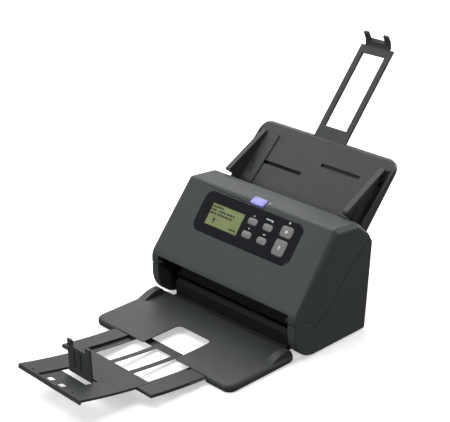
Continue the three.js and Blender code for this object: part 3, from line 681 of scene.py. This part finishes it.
def side_covers():
    """The two side covers, the left one a mirror image of the right."""
    hollow = [(-96, 6), (-4.5, 6), (7.5, 121), (-20, 104), (-48, 74.5), (-77, 46), (-98, 35)]
    right = whole_body("side_cover_right_shell")
    combine(right, [prism("region", base_region(), LEG_INNER, BIG)], "INTERSECT")
    combine(right, [prism("hollow", hollow, LEG_INNER - 1, HALF - 3)])
    left = mirror_x(right, "side_cover_left_shell")
    dress(right, CASING, "base", ["side_cover_right"], 0.5, 3)
    dress(left, CASING, "base", ["side_cover_left"], 0.5, 3)


def rear_cover():
    """The back wall, with its two sockets' holes and two sets of shallow grooves."""
    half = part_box("rear_cover")[1].x / MM
    profile = [(-4, 1.5), (-1, 1.5), REAR_TOP, (10.5, 126.3), (8.7, 124.5)]
    cover = prism("rear_cover_shell", profile, -half, half)
    face = inclined((-1, 1.5), math.atan2(REAR_TOP[1] - 1.5, REAR_TOP[0] + 1))
    tools = [box("dc", -93.4, -79.6, -20, 20, 15.6, 29.4), box("usb", -65.4, -50.6, -20, 20, 16.6, 30.4)]
    for row in range(6):
        for side in (-1, 1):
            outline = rounded_rect(62, 2.2, 1.0, side * 60, 84 + 5.2 * row, 4)
            tools.append(slab("groove", outline, -5, 1.3, place=face))
    combine(cover, tools)
    dress(cover, CASING, "base", ["rear_cover"], 0.4, 2)


# ---------- control panel ----------


def control_panel():
    """The glossy plate on the slope, with holes for the display and the keys."""
    plate = slab("control_panel_plate", panel_outline(0), -1.6, 0.4, (0, 0.5), SLOPE, steps=4)
    lcd = rounded_rect(LCD["width"], LCD["height"], 1.2, LCD["x"], LCD["u"])
    combine(plate, [slab("lcd", lcd, -10, 10, place=SLOPE), *button_holes(0.5, -10, 10)])
    dress(plate, GLOSS, "front_unit", ["control_panel"], 0.18, 2)


def screen():
    """The display glass, sunk below the plate."""
    glass = rounded_rect(LCD["width"] - 0.8, LCD["height"] - 0.8, 0.8, LCD["x"], LCD["u"])
    shown = slab("lcd_screen", glass, -3.6, -0.6, (0, 0.3), SLOPE, steps=3)
    dress(shown, SCREEN, "front_unit", ["lcd_display"], 0)


def pillow(name, middle, size, corner, bottom, top, edge, crown, place):
    """A key cap: straight sides, a rounded edge, and a face that domes up by the crown."""
    width, height = size
    levels = [(0.0, bottom)]
    for i in range(7):
        turn = math.radians(90 * i / 6)
        levels.append((edge * (1 - math.cos(turn)), top - edge * (1 - math.sin(turn))))
    room = min(size) / 2 - edge - 0.4
    for i in range(1, 7):
        part = i / 6
        levels.append((edge + room * part, top + crown * (1 - (1 - part) ** 2)))
    rings = []
    for inward, level in levels:
        radius = max(corner - inward * 0.8, 0.35)
        outline = rounded_rect(width - 2 * inward, height - 2 * inward, radius, *middle, 6)
        rings.append((outline, level))
    return loft(name, rings, along_z, place)


def keys():
    """The six domed keys."""
    for name, (x, u, width, height) in BUTTONS.items():
        key = pillow(name + "_cap", (x, u), (width, height), 4.2, -4.4, 1.15, 0.9, 0.5, SLOPE)
        dress(key, KEY, name, [name], 0)


def stack(name, outlines, v0, v1, place, material, body, slot_name):
    """Several thin printed shapes as one piece."""
    bm = bmesh.new()
    for points in outlines:
        low = [bm.verts.new(along_z(a, b, v0)) for a, b in points]
        high = [bm.verts.new(along_z(a, b, v1)) for a, b in points]
        for i in range(len(points)):
            j = (i + 1) % len(points)
            bm.faces.new((low[i], low[j], high[j], high[i]))
        bm.faces.new(low)
        bm.faces.new(high)
    obj = new_object(name, bm, place)
    return dress(obj, material, body, (), 0)


def bar(x0, x1, u, height):
    """A short printed bar with rounded corners."""
    return rounded_rect(x1 - x0, height, height * 0.3, (x0 + x1) / 2, u, 3)


# The lower and upper face of each print, measured from the slope.
SCREEN_PRINT = (-0.62, -0.54)
PANEL_PRINT = (0.38, 0.43)
KEY_PRINT = (1.55, 1.66)

# Each row: how far down the display, the height of its blocks, and each block's start and width.
SCREEN_ROWS = [
    (4.6, 2.6, [(2.5, 4.6), (7.8, 3.2), (11.7, 5.4), (18.0, 4.4)]),
    (9.4, 3.0, [
        (2.5, 3.4), (6.6, 4.6), (16, 3.6), (20.4, 5.2), (26.4, 3.4), (32, 4.6), (37.4, 5.2), (43.4, 3.2),
    ]),
    (14.2, 3.0, [
        (2.0, 6.4), (9.2, 4.4), (15.4, 3.4), (19.6, 5.0), (25.4, 3.8), (30, 5.6), (36.4, 2.8), (40, 4.4),
    ]),
    (27.2, 3.0, [(46.5, 3.4), (50.6, 3.0), (54.4, 4.4)]),
]


def screen_marks():
    """Lines of plain blocks where the display shows its messages, and a small round symbol."""
    left = LCD["x"] - LCD["width"] / 2
    top = LCD["u"] + LCD["height"] / 2
    shapes = []
    for down, height, blocks in SCREEN_ROWS:
        for start, width in blocks:
            shapes.append(bar(left + start, left + start + width, top - down, height))
    shapes.append(ellipse(2.5, 2.5, left + 14, top - 22.2, 20))
    shapes.append(bar(left + 13.0, left + 15.0, top - 26.2, 3.4))
    stack("lcd_marks", shapes, *SCREEN_PRINT, SLOPE, INK_DARK, "front_unit", "display")


def panel_marks():
    """Small prints above and below the keys: two triangles, bars and dots."""
    shapes = [
        [(3.9, 93.5), (6.7, 93.5), (5.3, 96.1)],
        [(4.3, 76.9), (7.1, 76.9), (5.7, 74.5)],
        bar(26, 35, 97, 1.7),
        ellipse(1.7, 1.7, 37.6, 96.4, 20),
        bar(32.0, 36.4, 76.0, 1.5),
        ellipse(1.6, 1.6, 66.1, 102.9, 20),
    ]
    stack("panel_marks", shapes, *PANEL_PRINT, SLOPE, INK_LIGHT, "front_unit", "key_plastic")


def key_marks():
    """A dot on the stop key and a thin diamond on the start key."""
    x, u = BUTTONS["button_stop"][:2]
    dot = ellipse(2.1, 2.1, x, u, 24)
    stack("button_stop_mark", [dot], *KEY_PRINT, SLOPE, INK_KEY, "button_stop", "key_plastic")
    x, u = BUTTONS["button_start"][:2]
    diamond = [(x - 1.3, u), (x, u - 4.2), (x + 1.3, u), (x, u + 4.2)]
    stack("button_start_mark", [diamond], *KEY_PRINT, SLOPE, INK_KEY, "button_start", "key_plastic")


def power_lens():
    """The lit button, and a small ring mark beside it."""
    ring = slab("power_mark", ellipse(1.7, 1.7, 18.5, 2.6, 28), -0.3, 0.22, place=LENS_FRAME)
    combine(ring, [slab("hole", ellipse(1.1, 1.1, 18.5, 2.6, 28), -2, 2, place=LENS_FRAME)])
    dress(ring, INK_LIGHT, "front_unit", (), 0)
    lens = pillow("power_button_lens", (0, 0), (25, 13), 3, -4, 0.05, 0.7, 0.22, LENS_FRAME)
    dress(lens, LENS, "power_button", ["power_button"], 0)


# ---------- feed tray ----------

TRAY_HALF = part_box("feed_tray")[1].x / MM
TRAY_LENGTH = 101
GUIDE_INNER = 106.5
GUIDE_OUTER = 116
TRACK_DEPTH = 1.4


def tray_top(s):
    """The height of the tray top face in the path frame, at s along it."""
    return -11 - 9.5 * s / TRAY_LENGTH


def feed_tray_underside():
    """The thin plate behind the feed tray, with two rounded corners."""
    corner = 17
    points = [(-TRAY_HALF, -3), (TRAY_HALF, -3), (TRAY_HALF, TRAY_LENGTH), (-TRAY_HALF, TRAY_LENGTH)]
    plan = fillet(points, [0, 0, corner, corner], 12)
    plate = slab("feed_tray_underside_plate", plan, -27, -25.4, (0.9, 0), PATH, steps=4)
    dress(plate, TRAY, "base", ["feed_tray_underside"], 0.15, 2)


def tray_face(lift):
    """A frame on the tray's top face, which is a little less steep than the sheet path."""
    slope = math.atan2(tray_top(TRAY_LENGTH) - tray_top(0), TRAY_LENGTH)
    return PATH @ Matrix.Translation((0, 0, (tray_top(0) + lift) * MM)) @ Matrix.Rotation(slope, 4, "X")


FIN = {"low": 1.8, "high": 83.0, "crest_low": 16.6, "crest_high": -13.0, "wall": 2.2, "strip": 3.4}
FIN_GAP = 0.4
RIB_PLACES = (22, 46)


def crest(s):
    """How high the guide's crest stands: a straight fall from near its low end to near its high end."""
    share = (s - 5) / (FIN["high"] - 7)
    return FIN["crest_low"] + (FIN["crest_high"] - FIN["crest_low"]) * share


def fin_section():
    """The guide's side view: a straight crest with round ends, down to the tray."""
    low, high = FIN["low"], FIN["high"]
    corners = [
        (low, tray_top(low) + FIN_GAP), (high, tray_top(high) + FIN_GAP),
        (high, crest(high) - 0.2), (low, crest(low)),
    ]
    return fillet(corners, [0.5, 0.5, 1.2, 3.5], 8)


def fin_hollow():
    """The side view of the hollow: open at the low end, and closed before the high end."""
    start = FIN["low"] - 5
    end = FIN["high"] - 8
    return fillet([
        (start, tray_top(FIN["low"]) + 2.2), (end, tray_top(end) + 2.2),
        (end, crest(end) - 1.6), (start, crest(start) - FIN["strip"]),
    ], 0.6, 3)


def fin_rib(s):
    """An upright rib between the crest strip and the foot of the guide, broader at its foot."""
    top = crest(s) - FIN["strip"] + 0.6
    foot = tray_top(s) + 1
    side = [(s, top), (s + 2.0, top), (s + 3.4, foot), (s - 1.4, foot)]
    return prism("rib", side, GUIDE_INNER + 1, GUIDE_OUTER - 2.6, (0, 0.5), PATH)


def feed_guides():
    """Each guide: a thin inner wall, a broad crest strip, a hollow outer side with ribs, and a flange."""
    fin = prism("guide_right_fin", fin_section(), GUIDE_INNER, GUIDE_OUTER, (1.0, 1.6), PATH)
    combine(fin, [prism("hollow", fin_hollow(), GUIDE_INNER + FIN["wall"], GUIDE_OUTER + 5, place=PATH)])
    across = (GUIDE_INNER - 23.6, GUIDE_INNER + 1)
    along = (FIN["low"] + 0.2, FIN["high"] - 0.2)
    flange = box("flange", *across, *along, 0, 1.4, tray_face(FIN_GAP))
    combine(fin, [flange, *(fin_rib(s) for s in RIB_PLACES)], "UNION")
    left = mirror_x(fin, "guide_left_fin")
    dress(fin, TRAY, "guide_right", ["guide_right"], 0)
    dress(left, TRAY, "guide_left", ["guide_left"], 0)


def feed_tray():
    """The tray, with a shallow track cut beside each guide, and a thin black strip of painted shade on each
    track's floor.
    """
    tray = copied("feed_tray", "feed_tray_plate")
    face = tray_face(0)
    tracks = {}
    for name, side in (("left", -1), ("right", 1)):
        tracks[name] = sorted((side * (GUIDE_OUTER + 1.0), side * (TRAY_HALF - 2.2)))
    combine(tray, [box("painted_shade_strip", x0, x1, 1, 84, -TRACK_DEPTH, 5, face) for x0, x1 in tracks.values()])
    dress(tray, TRAY, "base", ["feed_tray"], 0)
    # Each track's floor gets a thin black strip: painted shade, darker than the recess depth alone would
    # make it.
    for name, (x0, x1) in tracks.items():
        bottom = 0.02 - TRACK_DEPTH
        shade_liner = box(f"track_{name}", x0 + 0.1, x1 - 0.1, 1.1, 83.9, bottom, bottom + 0.38, face)
        dress(shade_liner, BLACK, "base", (), 0.1, 1)


# ---------- eject tray ----------


def eject_tray():
    """The fixed eject tray: its CAD shape with softened edges."""
    tray = copied("eject_tray", "eject_tray_plate")
    dress(tray, TRAY, "base", ["eject_tray"], 0.6, 3)


# ---------- everything else keeps its CAD shape, with softened edges ----------

KEPT = {
    "base_frame": (BLACK, "dark_plastic", 0.3),
    "foot_front_left": (RUBBER, "rubber", 0.3),
    "foot_front_right": (RUBBER, "rubber", 0.3),
    "foot_rear_left": (RUBBER, "rubber", 0.3),
    "foot_rear_right": (RUBBER, "rubber", 0.3),
    "dc_jack": (BLACK, "black_plastic", 0.3),
    "usb_port": (STEEL, "steel", 0.2),
    "main_board": (BOARD, "circuit_board", 0.1),
    "lower_guide": (BLACK, "black_plastic", 0.15),
    "lower_scan_unit": (DARK, "dark_plastic", 0.4),
    "lower_glass": (GLASS, "glass", 0.15),
    "drive_motor": (STEEL, "steel", 0.5),
    "drive_belt": (RUBBER, "rubber", 0.15),
    "hinge_pin_left": (STEEL, "steel", 0.2),
    "hinge_pin_right": (STEEL, "steel", 0.2),
    "motor_pulley": (STEEL, "steel", 0.1),
    "upper_guide": (BLACK, "black_plastic", 0.15),
    "upper_scan_unit": (DARK, "dark_plastic", 0.4),
    "upper_glass": (GLASS, "glass", 0.15),
    "panel_board": (BOARD, "circuit_board", 0.1),
    "guide_rack_left": (BLACK, "black_plastic", 0.1),
    "guide_rack_right": (BLACK, "black_plastic", 0.1),
    "guide_pinion": (BLACK, "black_plastic", 0.1),
    "feed_extension": (TRAY, "dark_plastic", 0.35),
    "eject_extension_1": (TRAY, "dark_plastic", 0.2),
    "eject_extension_2": (TRAY, "dark_plastic", 0.25),
    "eject_stopper": (TRAY, "dark_plastic", 0.3),
    "open_lever": (DARK, "dark_plastic", 0.6),
}
ROLLERS = ["feed", "registration", "eject"]


def kept_pieces():
    """Softens the other CAD nodes and gives them their materials."""
    for node, (material, slot_name, width) in KEPT.items():
        refined(node, material, width)
    for name in ROLLERS:
        refined(f"{name}_roller", RUBBER, 0.2)
        refined(f"{name}_pulley", DARK, 0.1)
    for name in ("retard", "registration_pinch", "eject_pinch"):
        refined(f"{name}_roller", RUBBER, 0.2)


# ---------- stage ----------

FLOOR_RADIUS = 4.4
WALL_CURVE = 1.2
WALL_TOP = 6.0
STUDIO_SIDES = 96


def paper():
    """White backdrop paper with a faint glow, so that shadows on it stay light."""
    n = Nodes("floor_paper")
    n.colour(n.ramp(n.noise(1.2, 3), [(0.3, (0.86, 0.865, 0.87)), (0.7, (0.875, 0.88, 0.885))]))
    n.join(n.range(n.noise(6, 3), 0.75, 0.85), n.shader.inputs["Roughness"])
    n.set(Specular_IOR_Level=0.1, Emission_Strength=0.45)
    n.shader.inputs["Emission Color"].default_value = (1, 1, 1, 1)
    return n.material


def floor():
    """A round white studio: a flat floor that curves up into a wall all round, and casts no light."""
    profile = [(0.02, 0.0), (2.0, 0.0), (FLOOR_RADIUS, 0.0)]
    profile += arc((FLOOR_RADIUS, WALL_CURVE), WALL_CURVE, -90, 0, 15)[1:]
    profile.append((FLOOR_RADIUS + WALL_CURVE, WALL_TOP))
    bm = bmesh.new()
    rings = []
    for radius, z in profile:
        outline = ellipse(radius, radius, 0, 0, STUDIO_SIDES)
        rings.append([bm.verts.new((x, y, z)) for x, y in outline])
    for low, high in zip(rings, rings[1:]):
        for i in range(STUDIO_SIDES):
            j = (i + 1) % STUDIO_SIDES
            bm.faces.new((low[i], low[j], high[j], high[i]))
    bm.faces.new(rings[0])
    studio = new_object("floor", bm, Matrix.Identity(4))
    studio.data.materials.append(paper())
    studio.data.polygons.foreach_set("use_smooth", [True] * len(studio.data.polygons))
    studio.visible_diffuse = False
    studio.visible_glossy = False
    studio.visible_shadow = False


def softbox(name, where, target, size, power):
    """A rectangular area light aimed at a point."""
    light = bpy.data.lights.new(name, "AREA")
    light.shape = "RECTANGLE"
    light.size, light.size_y = size
    light.energy = power
    obj = bpy.data.objects.new(name, light)
    bpy.context.scene.collection.objects.link(obj)
    obj.location = where
    obj.rotation_euler = (Vector(target) - Vector(where)).to_track_quat("-Z", "Y").to_euler()


def lights():
    """Five soft lights and a dim world: a broad one overhead, weaker ones round the sides."""
    world = bpy.data.worlds.new("studio")
    world.use_nodes = True
    back = world.node_tree.nodes["Background"]
    back.inputs["Color"].default_value = (0.96, 0.98, 1, 1)
    back.inputs["Strength"].default_value = 0.1
    bpy.context.scene.world = world
    softbox("overhead", (-1.9, 0.3, 3.6), (-0.1, 0.0, 0), (4.6, 6.5), 250)
    softbox("front_left", (-0.8, -3.0, 1.3), (0, 0, 0.1), (1.6, 1.0), 56)
    softbox("back_left", (-1.5, 1.6, 1.3), (-0.2, 0.1, 0.1), (1.0, 0.8), 12)
    softbox("right", (3.2, -0.2, 0.9), (0, 0, 0.15), (2.2, 1.6), 24)
    softbox("back", (1.0, 3.2, 0.9), (0, 0, 0.15), (2.4, 1.4), 80)


def camera():
    """The camera of the photo: front right, a little above the machine."""
    azimuth, elevation, roll = (math.radians(a) for a in (47.37, 23.64, -1.58))
    target = Vector((-0.0721, 0.0643, 0.126))
    back = Vector((
        math.sin(azimuth) * math.cos(elevation),
        -math.cos(azimuth) * math.cos(elevation),
        math.sin(elevation),
    ))
    right = Vector((math.cos(azimuth), math.sin(azimuth), 0))
    up = back.cross(right)
    across = math.cos(roll) * right + math.sin(roll) * up
    above = -math.sin(roll) * right + math.cos(roll) * up
    data = bpy.data.cameras.new("camera")
    data.lens = 104.88
    data.sensor_width = 36
    data.clip_end = 50
    obj = bpy.data.objects.new("camera", data)
    bpy.context.scene.collection.objects.link(obj)
    turn = Matrix((across, above, back)).transposed().to_4x4()
    obj.matrix_world = Matrix.Translation(target + 1.822 * back) @ turn
    bpy.context.scene.camera = obj


front_cover()
side_covers()
rear_cover()
control_panel()
screen()
screen_marks()
panel_marks()
keys()
key_marks()
power_lens()
feed_tray_underside()
feed_tray()
feed_guides()
eject_tray()
kept_pieces()
floor()
lights()
camera()
bpy.context.scene.view_settings.view_transform = "Standard"
